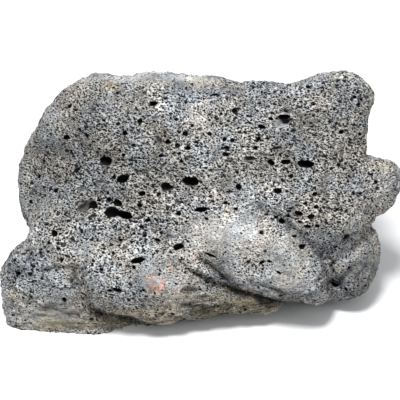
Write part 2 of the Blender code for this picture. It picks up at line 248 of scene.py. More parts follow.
# Broken roughness: wavelength, height in millimetres, and whether it stands in ridges.
ROUGHNESS = (
    (46, 3.2, False), (21, 1.7, False), (10, 1.5, True), (5.6, 1, True), (3.4, 0.6, True),
    (2.6, 0.35, False),
)
RIDGE_MIDDLE = 0.35  # lifts a ridged wave so that it swells about as much as it sinks
# Layers of the flow, low on the face and below: wavelength along X, Y and Z, and height.
LAYERS = ((34, 24, 3.6, 1.1), (20, 14, 2.4, 0.6))
# The threads of the ropes: wavelength along and beside a rope and over its strength, and height.
THREADS = ((24, 4.2, 40, 1), (16, 2.4, 40, 0.7))
FLOW_GAIN = 1.6  # smooth noise seldom nears 1, so the layers and threads are drawn out by this much
LOW = 34 * MM  # behind, the layers and the stain of the soil fade out at this height
# A zone is a place on the face, half width, half height and how much there is in its middle.
ZONE_FADE = 1.2
LAYER_ZONES = (
    (-40, -88, 130, 14, 1), (-110, -72, 40, 18, 0.8), (20, -72, 50, 14, 1), (-50, -66, 44, 16, 0.4),
    (60, -66, 40, 12, 0.4),
)

MASS_TRIANGLES = 112000
# Edges are the shorter, the more detail: behind, how much more on the face, and more still by zone.
BACK_DETAIL = 0.55
FACE_DETAIL = 0.5
FINE_ZONES = (
    (20, -62, 46, 16, 1), (100, -50, 30, 26, 0.7), (-80, -70, 24, 18, 0.7), (-20, -84, 50, 12, 0.6),
    (70, -20, 34, 18, 0.4),
)
LEAST_THINNING = 0.02
# What is cut away below to leave the flat sole.
GROUND_SIDE = 0.5
GROUND_DEPTH = 60 * MM


def on_face(right, up, out=0.0):
    """The point of the stone's frame at a place given in the face's axes, in millimetres."""
    return Vector(FACE_MIDDLE + MM * (np.array((right, up, out)) @ FACE_AXES))


def in_axes(points, middle, axes):
    """Points of the stone's frame in a side's own axes, in millimetres."""
    return (points - middle) @ axes.T / MM


def follow(places, path):
    """How far along a polyline each place is, and how far beside it, both in a side's (right, up)."""
    along, beside = np.zeros(len(places)), np.full(len(places), np.inf)
    before = 0.0
    for start, end in zip(np.array(path, float), np.array(path[1:], float)):
        run = end - start
        share = np.clip((places[:, :2] - start) @ run / (run @ run), 0, 1)
        gap = places[:, :2] - start - share[:, None] * run
        side = np.where(run[0] * gap[:, 1] < run[1] * gap[:, 0], -1, 1)
        distance = np.linalg.norm(gap, axis=1)
        nearer = distance < np.abs(beside)
        beside[nearer] = (side * distance)[nearer]
        along[nearer] = (before + share * np.linalg.norm(run))[nearer]
        before += np.linalg.norm(run)
    return along, beside


def swell_lobe(bm, outline, plane, front, back, square, tilt):
    """An icosphere squared and stretched so that its rim follows the outline."""
    rim = np.array(outline, float)
    middle = rim.mean(axis=0)
    arms = rim - middle
    bearings, reaches = np.arctan2(arms[:, 1], arms[:, 0]), np.hypot(arms[:, 0], arms[:, 1])
    for vert in bmesh.ops.create_icosphere(bm, subdivisions=BALL_CUTS, radius=1.0)["verts"]:
        across, along, deep = vert.co
        swell = (math.hypot(across, along) ** square + abs(deep) ** square) ** (-1 / square)
        reach = np.interp(math.atan2(along, across), bearings, reaches, period=2 * math.pi) * swell
        right, up = middle[0] + across * reach, middle[1] + along * reach
        out = plane + tilt[0] * right + tilt[1] * up + deep * swell * (front if deep > 0 else back)
        vert.co = on_face(right, up, out)


def swell_mass(bm, middle, half_sizes, squareness):
    """An icosphere squared and stretched about a middle."""
    for vert in bmesh.ops.create_icosphere(bm, subdivisions=BALL_CUTS, radius=1.0)["verts"]:
        swell = sum(abs(c) ** squareness for c in vert.co) ** (-1 / squareness)
        vert.co = [MM * (m + h * c * swell) for m, h, c in zip(middle, half_sizes, vert.co)]


def add_object(name, mesh):
    obj = bpy.data.objects.new(name, mesh)
    bpy.context.scene.collection.objects.link(obj)
    return obj


def mesh_object(bm, name):
    mesh = bpy.data.meshes.new(name)
    bm.to_mesh(mesh)
    bm.free()
    return add_object(name, mesh)


def apply_modifiers(obj):
    bpy.context.view_layer.update()
    seen = obj.evaluated_get(bpy.context.evaluated_depsgraph_get())
    mesh = bpy.data.meshes.new_from_object(seen)
    obj.modifiers.clear()
    obj.data = mesh


def per_vertex(mesh, key):
    values = np.empty(len(mesh.vertices) * 3, np.float32)
    mesh.vertices.foreach_get(key, values)
    return values.reshape(-1, 3).astype(float)


def points_of(mesh):
    return per_vertex(mesh, "co")


def normals_of(mesh):
    return per_vertex(mesh, "normal")


def move_points(mesh, points):
    mesh.vertices.foreach_set("co", points.astype(np.float32).ravel())
    mesh.update()


def press(mesh, creases, middle, axes, reach):
    """Moves one side inwards, deepest on each crease's path."""
    points = points_of(mesh)
    places = in_axes(points, middle, axes)
    depth = np.zeros(len(points))
    for path, half_width, deep, *_ in creases:
        depth += deep * np.exp(-((follow(places, path)[1] / half_width) ** 2))
    depth *= np.clip((places[:, 2] - reach[0]) / (reach[1] - reach[0]), 0, 1)
    move_points(mesh, points - depth[:, None] * MM * axes[2])


def noise_at(points, wavelengths):
    """Smooth noise from -1 to 1 at each point, its lumps as wide as the wavelengths in millimetres."""
    widths = np.array(wavelengths) * np.ones(3)
    apart = (widths[0], 0, 0)  # so that no two wavelengths meet at the origin
    return np.array([noise.noise(p) for p in points / (widths * MM) + apart])


def zone_sum(places, zones):
    """What the zones add up to at each place of the face; each fades out from its middle."""
    total = np.zeros(len(places))
    for right, up, half_width, half_height, amount in zones:
        across, along = (places[:, 0] - right) / half_width, (places[:, 1] - up) / half_height
        total += amount * np.exp(-(across**2 + along**2) * ZONE_FADE)
    return total


def face_share(normals):
    """1 where the surface looks the face's way, 0 where it looks away."""
    return np.clip((normals @ FACE_AXES[2] - FACE_START) / FACE_BLEND, 0, 1)


def low_behind(points, front):
    """1 at the ground and 0 at the height LOW, on the sides that aren't the face."""
    return np.clip(1 - points[:, 2] / LOW, 0, 1) * (1 - front)


def layered(points, normals):
    """How much of the flow's layers shows: low on the face, and round the foot on the other sides."""
    front = face_share(normals)
    zones = zone_sum(in_axes(points, FACE_MIDDLE, FACE_AXES), LAYER_ZONES)
    return np.clip(zones * front + low_behind(points, front), 0, 1)


def roped(points, normals):
    """At each point, how far along and beside the rope that shows most there, and how much it shows."""
    places, front = in_axes(points, FACE_MIDDLE, FACE_AXES), face_share(normals)
    most = np.zeros((len(points), 3))
    for path, half_width, strength in ROPES:
        along, beside = follow(places, path)
        shows = strength * np.exp(-((beside / half_width) ** 2)) * front
        more = shows > most[:, 2]
        most[more] = np.column_stack((along, beside, shows))[more]
    return most


def roughen(mesh):
    """Moves the surface along its normals by the roughness, the layers and the threads."""
    points, normals = points_of(mesh), normals_of(mesh)
    height = np.zeros(len(points))
    for wavelength, tall, ridged in ROUGHNESS:
        wave = noise_at(points, wavelength)
        height += tall * (RIDGE_MIDDLE - 2 * np.abs(wave) if ridged else wave)
    for *widths, tall in LAYERS:
        height += tall * noise_at(points, widths) * FLOW_GAIN * layered(points, normals)
    ropes = roped(points, normals)
    for *widths, tall in THREADS:
        height += tall * noise_at(ropes * MM, widths) * FLOW_GAIN * ropes[:, 2]
    move_points(mesh, points + height[:, None] * MM * normals)


def thin_out(obj):
    """Fewer triangles, and longer ones where less is to be seen."""
    points, normals = points_of(obj.data), normals_of(obj.data)
    front = face_share(normals)
    detail = BACK_DETAIL + FACE_DETAIL * front
    detail += zone_sum(in_axes(points, FACE_MIDDLE, FACE_AXES), FINE_ZONES) * front
    group = obj.vertex_groups.new(name="thinning")
    steps = np.round(np.clip(1 - detail / 2, LEAST_THINNING, 1), 2)
    for step in np.unique(steps):
        group.add(np.flatnonzero(steps == step).tolist(), step, "REPLACE")
    thin = obj.modifiers.new("thin", "DECIMATE")
    obj.data.calc_loop_triangles()
    thin.ratio = MASS_TRIANGLES / len(obj.data.loop_triangles)
    thin.vertex_group = group.name
    apply_modifiers(obj)
    obj.vertex_groups.clear()


def subtract(obj, cutter):
    cut = obj.modifiers.new("cut", "BOOLEAN")
    cut.operation = "DIFFERENCE"
    cut.solver = "MANIFOLD"
    cut.object = cutter
    apply_modifiers(obj)
    bpy.data.objects.remove(cutter)


bm = bmesh.new()
for form in LOBES.values():
    swell_lobe(bm, **form)
for mass in BACK_MASSES:
    swell_mass(bm, *mass)
stone = mesh_object(bm, "lava_stone")
weld = stone.modifiers.new("weld", "REMESH")
weld.mode = "VOXEL"
weld.voxel_size = GRAIN
ease = stone.modifiers.new("ease", "SMOOTH")
ease.factor = 0.5
ease.iterations = 8
apply_modifiers(stone)
press(stone.data, FACE_CREASES, FACE_MIDDLE, FACE_AXES, FACE_REACH)
press(stone.data, BACK_CREASES, np.zeros(3), BACK_AXES, BACK_REACH)
press(stone.data, WRINKLES, FACE_MIDDLE, FACE_AXES, FACE_REACH)
roughen(stone.data)
thin_out(stone)
bm = bmesh.new()
below = Matrix.Translation((0, 0, -GROUND_DEPTH / 2))
ground = below @ Matrix.Diagonal((GROUND_SIDE, GROUND_SIDE, GROUND_DEPTH, 1))
bmesh.ops.create_cube(bm, size=1.0, matrix=ground)
subtract(stone, mesh_object(bm, "ground"))

# ---- The stone: its vesicles -----------------------------------------------------------------------
# Gas bubbles that froze as the lava set and burst where the stone broke. Each is a small ellipsoid
# cut out of the mass: the large ones of the broad face where they are, the rest strewn by zone.
EYE_DISTANCE = 1000  # places on the face are those seen from this far off, in millimetres
# Openings on the face: (right, up), half width, half height and, where it has one, turn in degrees.
FACE_VESICLES = (
    (-81, -3.5, 4, 2.9, 25), (-66, -9, 5, 4), (-57, -11, 6.5, 2.6, -8), (-62, -2, 3.4, 2.4, -10),
    (-68.6, 0, 1.9, 1.9), (-75.7, 0, 1.9, 1.1), (-71, 29, 4.5, 3), (-58, 16, 4.1, 2.7, 20),
    (-64.5, 17, 1.6, 1.6), (-7, 14, 6, 3.2, 8), (-26, 10, 3.4, 2.8), (-43, 5, 2.3, 1.7),
    (-92, 23, 2.3, 2.3), (-108, 7, 2.3, 1.6), (-45, 59, 1.9, 1.9), (-11, 50, 2.1, 1.9), (-9, 39, 2.2, 1.8),
    (-24, 43.5, 2, 1.8), (-17, 41, 2, 1.9), (-86, 49, 2.3, 1.8), (-100, 47, 2.3, 1.8),
    (-14, 29, 1.5, 1.5), (26, 67, 2.1, 1.8), (62.5, 62, 4.4, 1.8, 8), (46, 55, 2.9, 1.5, -10),
    (24, 45, 1.7, 1.5), (44, 46, 1.7, 1.5), (20, 39, 2.3, 1.4), (19, 34.5, 2.6, 1.5),
    (53, 28, 3.4, 1.9, -12), (64.5, 28.5, 3.4, 1.7), (79, 27, 6, 2.6, 5), (29, 10, 2.5, 2.2),
    (58, 7, 2.8, 1.9), (86, 4.5, 1.9, 1.4), (-115, -18, 2.2, 1.9), (-109, -25, 3.3, 2.2, -15),
    (-89, -23, 1.9, 1.3), (-45, -4, 1.9, 1.5), (-39, -15, 2, 1.3), (-54, -20, 1.8, 1.4),
    (-50, -22, 1.6, 1.3), (-44, -20, 1.7, 1.3), (-50, -25, 1.6, 1.2), (-60, -30, 1.8, 1.2),
    (-65, -40, 1.4, 1.4), (-46.5, -45, 5, 1.8, 5), (-32, -30, 2.6, 1.2, -15), (-16, -35, 4, 2.4),
    (1, -7, 4.4, 1.7, 5), (19, -2, 1.7, 1.3), (61, -15.5, 2.3, 1.8), (73.5, -10, 3, 1.7),
    (66, -12, 1.8, 1.2), (57, -13, 1.7, 1.1), (84, -13, 2.5, 1.9), (76.5, -35, 4, 1.8, -20),
    (47, -46, 2.3, 1.2, -20), (52, -46, 1.7, 1, -20), (-62, -67.5, 3.7, 1.4, -10), (-68, -68, 1.8, 1.2),
    (-128, -31, 2.4, 1.3), (-136.5, -55, 2.2, 1.4), (-127, -40, 1.6, 1.3), (-120, -39, 1.6, 1.2),
    (50.5, -10.5, 1.7, 1), (79, -2.5, 1.8, 1), (87, -5.5, 1.9, 1.1), (75, -16.5, 1.9, 1),
    (81, -20, 2.6, 1.2), (88, -19.5, 2.1, 1.1), (71, -27, 2.2, 1, -10), (59, -54.5, 2.2, 1, -15),
    (107, -37, 1.4, 1.1), (112.5, -51, 1.7, 1.4), (117, -25, 1.9, 1.2, 20), (109.5, -28.5, 3.4, 3.2, 30),
    (99.5, -62.5, 4.6, 2), (-35, 73, 3.2, 1.2), (-82, 90, 2, 1.2), (10.5, 79, 3.3, 1),
    (8, -41.5, 4.2, 1, -22), (81, 85, 1.8, 1.3), (125, 77, 1.3, 2.6), (106, 51, 2, 1.5),
)
# Bowls, widest at their rims and a little lighter inside.
FACE_BOWLS = (
    (-86, -5, 6.4, 4.2, 25), (37.5, 31, 4.4, 2.2), (57, 39, 3.3, 1.6), (-23, 9, 4, 2.6, 10),
    (-31, 44, 3, 2, -20), (-80, -12, 3.4, 1.6), (22, 6, 3.2, 1.4), (-96, -30, 3.4, 1.6, -10),
    (93, 33, 3, 1.5, 10), (-52, 30, 2.8, 1.7), (-14, -45, 3, 1.3, 15), (70, 52, 2.8, 1.6),
)
# Shallow dishes, nearly as light inside as the stone around.
FACE_DISHES = (
    (-35, 72, 4.4, 1.8, 16), (-33, 61.5, 3.6, 1.8, 12), (-40, 41, 3.4, 1.9, -30), (-55, 0.8, 3.6, 1.7),
    (-75, 13.5, 4.6, 2.2, -15), (-93, 44, 3.4, 2), (-51, 64, 2.4, 1.6), (-106, -4, 3.6, 2.6, 20),
    (-88, 8, 5, 2.2, -10), (66, 67, 5.4, 2, 8), (12, 22, 4, 2, 10), (96, 18, 4, 2.2, 15),
    (38, -4, 3.4, 1.8), (-95, -38, 4.2, 2.2, -10), (108, 60, 3.2, 2.2, 30), (61, 57.5, 8.6, 4.2, 22),
    (72, -2, 3.6, 1.6), (-20, -28, 4.4, 2, 20), (48, 76, 4.2, 1.6),
)
# How far the middle lies under the surface, over half width; how light it is inside; and how much
# wider and higher the bubble is than its opening.
PLACED = (
    (FACE_VESICLES, 0.3, 0, (1.14, 1.22)),
    (FACE_BOWLS, -0.3, 0.2, (1, 1)),
    (FACE_DISHES, -0.65, 0.85, (1, 1)),
)
PLACED_COUNT = sum(len(shapes) for shapes, *_ in PLACED)

# The strewn ones: how many, least and largest half width in millimetres, and whether the face has any.
STREWN = ((78, 2.1, 4.8, False), (1010, 1.15, 2.25, True))
SEED = 12
STREWN_SHARE = (0.6, 0.95)  # half height over half width
STREWN_TURN = (-10, 15)  # mean and spread, in degrees
STREWN_SINK = (-0.45, 0.4)  # the shallow ones burst near their tops
DULL_SHARE = 0.2  # of the strewn ones, those that are not dark inside
DULL_LIGHT = (0.4, 0.9)
SMALL_FAVOUR = 1.5  # over 1, small ones are more common than large ones
FACE_FAVOUR = 2.6  # how much more thickly the face is strewn
FACE_SIDE = 0.1  # a triangle that looks this much the face's way is the face's
PORE_FAVOUR = 1.5  # over 1, the strewn ones crowd where there are many pores
TRIES = 12  # draws for each one wanted, before the rest are given up
WALL = 0.25  # least wall between two vesicles, in millimetres
SOLE_MARGIN = 1.5  # least height above the sole, in millimetres

VESICLE_DEPTH = 1.35  # half depth over half width
LEAST_LEAN = 0.1  # of a normal, as a sine, for its level direction to be used
UNEVENNESS = (0.88, 1.1)
FINER_FROM = (1.5, 4)  # half widths in millimetres from which a bubble's ball has more faces
LAYER_GAP = 1.25  # least distance within one cutter, over the sum of two half widths

# How thickly each part of the face is pierced: what each zone adds to the stone's own share of 1.
PORE_ZONES = (
    (-50, 20, 56, 34, 0.8), (-60, -14, 40, 16, 0.7), (-14, 36, 16, 14, 0.6), (70, 50, 45, 30, 0.6),
    (64, 26, 34, 10, 0.6), (74, -12, 32, 13, 0.8), (34, -28, 40, 24, -0.5), (40, -56, 26, 12, -0.25),
    (-85, -34, 14, 10, -0.2), (-58, -52, 20, 12, -0.2), (-10, -44, 16, 14, -0.2), (9, -15, 16, 12, -0.2),
    (64, -70, 28, 12, -0.25), (14, 4, 22, 24, -0.35), (0, 62, 12, 24, -0.4), (-40, -55, 40, 25, -0.3),
    (20, -74, 56, 14, -0.7), (112, -48, 26, 24, -0.55), (-118, -84, 44, 16, -0.6),
    (-60, -92, 120, 12, -0.5), (-118, 50, 26, 50, -0.25), (-30, 94, 70, 8, -0.8), (0, 99, 60, 6, -0.5),
    (104, 94, 20, 8, -0.4), (140, 10, 20, 26, -0.5), (60, 60, 9, 4, -0.9), (-33, -61, 10, 9, -0.6),
)
PORE_WAVE = 28  # the share drifts over this many millimetres, by so much behind and less on the face
BACK_DRIFT = 1.1
FACE_CALM = 0.6
PORE_LIMITS = (0.04, 2)

# Half width and half height are in millimetres; sink is over half width; light is 0 to 1.
Vesicle = namedtuple("Vesicle", "place normal width height turn sink light")


def middle_of(vesicle):
    return vesicle.place - vesicle.normal * vesicle.width * vesicle.sink * MM


def pore_share(points, normals):
    places = in_axes(points, FACE_MIDDLE, FACE_AXES)
    front = face_share(normals)
    drift = (BACK_DRIFT - FACE_CALM * front) * noise_at(points, PORE_WAVE)
    return np.clip(1 + drift + zone_sum(places, PORE_ZONES) * front, *PORE_LIMITS)


def surface_tree(mesh):
    return BVHTree.FromPolygons(
        [vert.co for vert in mesh.vertices], [tuple(face.vertices) for face in mesh.polygons]
    )


def placed_vesicles(mesh):
    """Those whose places on the face are known, cast on to the surface."""
    tree = surface_tree(mesh)
    eye = on_face(0, 0, EYE_DISTANCE)
    placed = []
    for shapes, sink, light, growth in PLACED:
        for right, up, half_width, half_height, *turn in shapes:
            place, normal, _, _ = tree.ray_cast(eye, on_face(right, up) - eye)
            width, height = half_width * growth[0], half_height * growth[1]
            turn = turn[0] if turn else 0
            placed.append(Vesicle(place, normal, width, height, turn, sink, light))
    return placed


class Spacing:
    """Knows where vesicles are, by cells, to keep the next one apart from them."""

    CELL = 4 * MM
    SMALL = 2.5  # one under this half width looks only one cell round it

    def __init__(self):
        self.cells = {}

    def cell_of(self, place):
        return tuple(int(c // self.CELL) for c in place)

    def remember(self, place, width):
        self.cells.setdefault(self.cell_of(place), []).append((place, width))

    def is_free(self, place, width):
        near = range(-1, 2) if width < self.SMALL else range(-2, 3)
        i, j, k = self.cell_of(place)
        for x, y, z in product(near, repeat=3):
            for other, size in self.cells.get((i + x, j + y, k + z), ()):
                if (other - place).length < MM * (width + size + WALL):
                    return False
        return True


def strewn_vesicles(mesh, placed):
    """The rest, drawn from the surface's triangles by area, side and share of pores."""
    mesh.calc_loop_triangles()
    points = points_of(mesh)[np.array([t.vertices[:] for t in mesh.loop_triangles])]
    crosses = np.cross(points[:, 1] - points[:, 0], points[:, 2] - points[:, 0])
    areas = np.linalg.norm(crosses, axis=1)
    facing = crosses / np.maximum(areas, 1e-12)[:, None]
    middles = points.mean(axis=1)
    front = facing @ FACE_AXES[2] > FACE_SIDE
    weights = areas * pore_share(middles, facing) ** PORE_FAVOUR * np.where(front, FACE_FAVOUR, 1.0)
    ladder = np.cumsum(weights * (middles[:, 2] > SOLE_MARGIN * MM))
    ladder /= ladder[-1]
    dice = random.Random(SEED)
    spacing = Spacing()
    for vesicle in placed:
        spacing.remember(vesicle.place, vesicle.width)
    strewn = []
    for count, least, largest, on_the_face in STREWN:
        enough = len(strewn) + count
        for _ in range(count * TRIES):
            if len(strewn) == enough:
                break
            n = int(np.searchsorted(ladder, dice.random()))
            u, v = dice.random(), dice.random()
            if u + v > 1:
                u, v = 1 - u, 1 - v
            a, b, c = points[n]
            place = Vector(a + u * (b - a) + v * (c - a))
            width = least * (largest / least) ** (dice.random() ** SMALL_FAVOUR)
            height = width * dice.uniform(*STREWN_SHARE)
            turn = dice.gauss(*STREWN_TURN)
            hidden = place.z < (SOLE_MARGIN + width) * MM
            if hidden or (front[n] and not on_the_face) or not spacing.is_free(place, width):
                continue
            spacing.remember(place, width)
            sink = dice.uniform(*STREWN_SINK)
            light = dice.uniform(*DULL_LIGHT) if dice.random() < DULL_SHARE else 0.0
            strewn.append(Vesicle(place, Vector(facing[n]), width, height, turn, sink, light))
    return strewn


def are_apart(one, other):
    return (one.place - other.place).length > MM * (one.width + other.width) * LAYER_GAP


def in_layers(vesicles):
    """Shares them out so that none of one layer overlap; only the placed ones can run together."""
    layers = []
    for vesicle in vesicles:
        for layer in layers:
            if all(are_apart(vesicle, other) for other in layer[:PLACED_COUNT]):
                layer.append(vesicle)
                break
        else:
            layers.append([vesicle])
    return layers


def vesicle_axes(normal, turn):
    """Across, up and out, as columns, turned about the surface's normal."""
    across = Vector((0, 0, 1)).cross(normal)
    across = across.normalized() if across.length > LEAST_LEAN else Vector((1, 0, 0))
    turned = Matrix.Rotation(math.radians(turn), 3, normal)
    return Matrix((turned @ across, turned @ normal.cross(across), normal)).transposed()


def blow_bubble(mesh, vesicle, dice):
    """Makes the mesh an uneven ellipsoid that stands in the surface where the vesicle is."""
    cuts = 1 + sum(vesicle.width >= finer for finer in FINER_FROM)
    bm = bmesh.new()
    verts = bmesh.ops.create_icosphere(bm, subdivisions=cuts, radius=1.0)["verts"]
    sizes = np.array((vesicle.width, vesicle.height, vesicle.width * VESICLE_DEPTH)) * MM
    uneven = np.array([vert.co for vert in verts]) * dice.uniform(*UNEVENNESS, (len(verts), 1)) * sizes
    axes = np.array(vesicle_axes(vesicle.normal, vesicle.turn))
    for vert, point in zip(verts, np.array(middle_of(vesicle)) + uneven @ axes.T):
        vert.co = point
    bm.to_mesh(mesh)
    bm.free()


def cut_vesicles(obj, vesicles):
    """Cuts out a layer at a time. Each bubble is made apart: the operator is slow in a large bmesh."""
    dice = np.random.RandomState(SEED)
    bubble = bpy.data.meshes.new("bubble")
    for layer in in_layers(vesicles):
        bm = bmesh.new()
        for vesicle in layer:
            blow_bubble(bubble, vesicle, dice)
            bm.from_mesh(bubble)
        subtract(obj, mesh_object(bm, "bubbles"))
    bpy.data.meshes.remove(bubble)


whole = stone.data.copy()
vesicles = placed_vesicles(stone.data)
vesicles += strewn_vesicles(stone.data, vesicles)
cut_vesicles(stone, vesicles)

# ---- The stone: its finish -------------------------------------------------------------------------
# Dry basalt: light grey walls between the pits, painted near black inside them for their shade,
# with small pits that are in the finish alone, stains of rust, sulphur and weathering where they lie
# on the face, and painted light and shade over it.
# Painted light and shade, mixed with the stone's own lighter and darker tone: the lit top edge is painted
# lighter, and the underside low on the face and the toe in its recess darker.
SHADE_ZONES = (
    (36, -24, 50, 26, 0.05), (-4, 36, 16, 50, 0.24), (-47, 78, 13, 10, 0.2), (0, 100, 60, 6, 0.22),
    (100, 98, 16, 8, 0.15), (34, 62, 28, 16, 0.26), (61, 56, 9, 4, 0.5), (28, 39, 18, 10, 0.12),
    (66, 38, 10, 9, -0.14), (-9, 20, 10, 10, -0.1), (48, 2, 40, 10, 0.24), (37, -4, 42, 18, 0.2),
    (-90, -14, 24, 13, 0.36), (-56, -38, 42, 15, 0.34), (-103, -54, 12, 10, 0.26),
    (-134, -71, 20, 10, 0.18), (122, 79, 12, 10, -0.15), (-10, -22, 14, 14, 0.16), (-47, -58, 10, 10, -0.2),
    (-32, -61, 8, 8, 0.2), (-131, -54, 20, 14, -0.12), (-100, 44, 50, 46, -0.26), (-116, 34, 18, 24, -0.16),
    (-40, 22, 60, 26, -0.12), (76, 45, 40, 40, -0.1), (122, 54, 12, 14, -0.14), (118, -58, 26, 22, -0.56),
    (66, -68, 26, 12, -0.3), (60, -86, 12, 8, -0.25), (90, -28, 26, 12, -0.2), (10, -80, 60, 14, -0.38),
    (-9, -73, 14, 10, -0.12), (-90, -80, 60, 18, -0.3), (-103, -80, 16, 20, -0.24), (76, -74, 26, 8, -0.15),
)
SHADE_WAVE = 34  # the shade drifts over this many millimetres, by so much
SHADE_DRIFT = 0.12
# The apron's dense skin, where even the bubbles of the finish are fewer.
DENSE_ZONES = ((62, -60, 34, 16, -0.35), (40, -30, 34, 16, -0.2))
PORE_END = 1.2  # depth in a vesicle, in millimetres, at which the bubbles of the finish end
IN_A_PIT = 0.05  # depth from which a point is inside a vesicle, in millimetres
NEAR_PITS = 5  # how many are looked at to find the one that a point is inside

COOL = (0.355, 0.385, 0.43)
BROWN = (0.33, 0.27, 0.19)
RUST = (0.76, 0.35, 0.23)
TAN = (0.44, 0.34, 0.22)
SULPHUR = (0.66, 0.60, 0.42)
ASH = (0.66, 0.70, 0.74)
OLIVE = (0.26, 0.232, 0.165)
BLUE = (0.20, 0.225, 0.265)
# Near black, for the painted shade in wrinkles and grooves.
CREASE_SHADE = (0.045, 0.045, 0.045)
# Stains, in the order in which they are laid: a colour and its zones.
STAINS = (
    (COOL, ((-28, 76, 34, 18, 0.5), (60, 70, 20, 20, 0.3), (-110, -30, 10, 12, 0.3))),
    (BROWN, (
        (-24, -88, 26, 10, 0.6), (-64, -87, 20, 8, 0.4), (20, 12, 24, 22, 0.25), (-96, 72, 20, 24, 0.25),
        (-112, -6, 14, 14, 0.2),
    )),
    (RUST, (
        (-33, -64, 8, 4, 0.75), (-36, -57, 4, 2.5, 0.7), (-27, -60, 3, 4, 0.7), (-22, -49, 4, 4, 0.55),
        (-5, -41, 2, 3, 0.5),
    )),
    (TAN, (
        (-38, 31, 8, 5, 0.4), (-66, 86, 9, 5, 0.7), (-58, -10, 60, 8, 0.15), (-70, -83, 22, 3, 0.7),
        (70, -77, 40, 4, 0.5), (40, -68, 30, 3, 0.3),
    )),
    (SULPHUR, (
        (101, 90, 6, 4, 0.7), (129, 83, 4, 6, 0.6), (137, 26, 12, 6, 0.7), (-139, -69, 8, 9, 0.6),
        (-45, -82, 8, 2.5, 0.8),
    )),
    (ASH, ((-32, 67, 8, 6, 0.8), (-18, 77, 6, 4, 0.7), (10, 67, 5, 4, 0.8))),
    (BLUE, (
        (2, 80, 18, 8, 0.8), (-44, -62, 12, 14, 0.8), (-124, -46, 14, 10, 0.7), (-100, 36, 10, 8, 0.6),
        (85, 60, 26, 18, 0.35), (112, -56, 24, 22, 0.5),
    )),
    (OLIVE, (
        (14, -80, 52, 12, 0.95), (-90, -93, 60, 9, 0.85), (40, -76, 30, 7, 0.8), (-100, -78, 50, 12, 0.4),
        (-105, 50, 50, 50, 0.25), (-8, -70, 24, 10, 0.5),
    )),
)
LOW_STAIN = 0.6  # strength of the olive stain round the foot, behind
# Painted shade in grooves, beside that in the wrinkles: path, half width and strength.
GROOVE_SHADE = (
    (((19, -65), (27, -69)), 3.2, 0.8), (((95, -66), (99, -68)), 2.6, 0.6),
    (((105, -60), (108, -55), (113, -51)), 2.2, 0.6), (((97, -37), (103, -33), (107, -30)), 1.4, 0.6),
    (((107, -30), (112, -26)), 3, 0.7),
)


def write_attribute(mesh, name, kind, values):
    layer = mesh.attributes.new(name, kind, "POINT")
    key = {"FLOAT": "value", "FLOAT_VECTOR": "vector", "FLOAT_COLOR": "color"}[kind]
    layer.data.foreach_set(key, np.asarray(values, np.float32).ravel())


def pit_lights(points, depth, vesicles):
    """How light each point is for the vesicle that it is inside, and 0 where it is in none."""
    nearest = KDTree(len(vesicles))
    for n, vesicle in enumerate(vesicles):
        nearest.insert(middle_of(vesicle), n)
    nearest.balance()
    light = np.zeros(len(points))
    for i in np.flatnonzero(depth > IN_A_PIT):
        near = nearest.find_n(points[i], NEAR_PITS)
        _, n = min((away / vesicles[n].width, n) for _, n, away in near)
        light[i] = vesicles[n].light
    return light


def lay_over(stain_and_shade, cover, colour):
    """A stain or painted shade of one colour over what is there: red, green, blue and cover at each point.
    """
    cover = cover[:, None]
    total = cover + stain_and_shade[:, 3:] * (1 - cover)
    share = np.divide(cover, total, out=np.zeros_like(cover), where=total > 1e-6)
    return np.hstack((stain_and_shade[:, :3] * (1 - share) + np.array(colour) * share, total))


def stains_at(points, places, front):
    """Stains and painted crease shade, each laid over the last: red, green, blue and cover at each point.
    """
    stain_and_shade = np.zeros((len(points), 4))
    stain_and_shade[:, :3] = OLIVE
    stain_and_shade[:, 3] = LOW_STAIN * low_behind(points, front)
    for colour, zones in STAINS:
        for zone in zones:
            stain_and_shade = lay_over(stain_and_shade, zone_sum(places, (zone,)) * front, colour)
    # Painted shade: wrinkles and grooves are darkened as shadow would darken them.
    shaded_wrinkles = [(path, *painted_shade) for path, _, _, *painted_shade in WRINKLES if painted_shade]
    for path, half_width, strength in (*shaded_wrinkles, *GROOVE_SHADE):
        cover = strength * np.exp(-((follow(places, path)[1] / half_width) ** 2)) * front
        stain_and_shade = lay_over(stain_and_shade, cover, CREASE_SHADE)
    return stain_and_shade


def surface_fields(mesh, whole, vesicles):
    """Writes what the finish reads at each vertex: pit depth and light, pores, painted light and shade,
    stains.
    """
    tree = surface_tree(whole)
    points = points_of(mesh)
    _, normals, _, depth = zip(*(tree.find_nearest(point) for point in points))
    normals, depth = np.array(normals), np.array(depth) / MM
    places = in_axes(points, FACE_MIDDLE, FACE_AXES)
    front = face_share(normals)
    pores = pore_share(points, normals) + zone_sum(places, DENSE_ZONES) * front
    pores = np.clip(pores, *PORE_LIMITS) * np.clip(PORE_END - depth, 0, 1)
    shade = zone_sum(places, SHADE_ZONES) * front + SHADE_DRIFT * noise_at(points, SHADE_WAVE)
    write_attribute(mesh, "pit_depth", "FLOAT", depth)
    write_attribute(mesh, "pit_light", "FLOAT", pit_lights(points, depth, vesicles))
    write_attribute(mesh, "pores", "FLOAT", pores)
    write_attribute(mesh, "shade", "FLOAT", shade)
    write_attribute(mesh, "streaks", "FLOAT", layered(points, normals))
    write_attribute(mesh, "rope", "FLOAT_VECTOR", roped(points, normals))
    write_attribute(mesh, "stain_and_shade", "FLOAT_COLOR", stains_at(points, places, front))


def new_finish(name):
    """A new material, its node tree and its shader."""
    material = bpy.data.materials.new(name)
    material.use_nodes = True
    return material, material.node_tree, material.node_tree.nodes["Principled BSDF"]


def put(tree, kind, **settings):
    node = tree.nodes.new(kind)
    for key, value in settings.items():
        setattr(node, key, value)
    return node


def feed(tree, socket, value):
    if isinstance(value, bpy.types.NodeSocket):
        tree.links.new(value, socket)
    else:
        socket.default_value = value


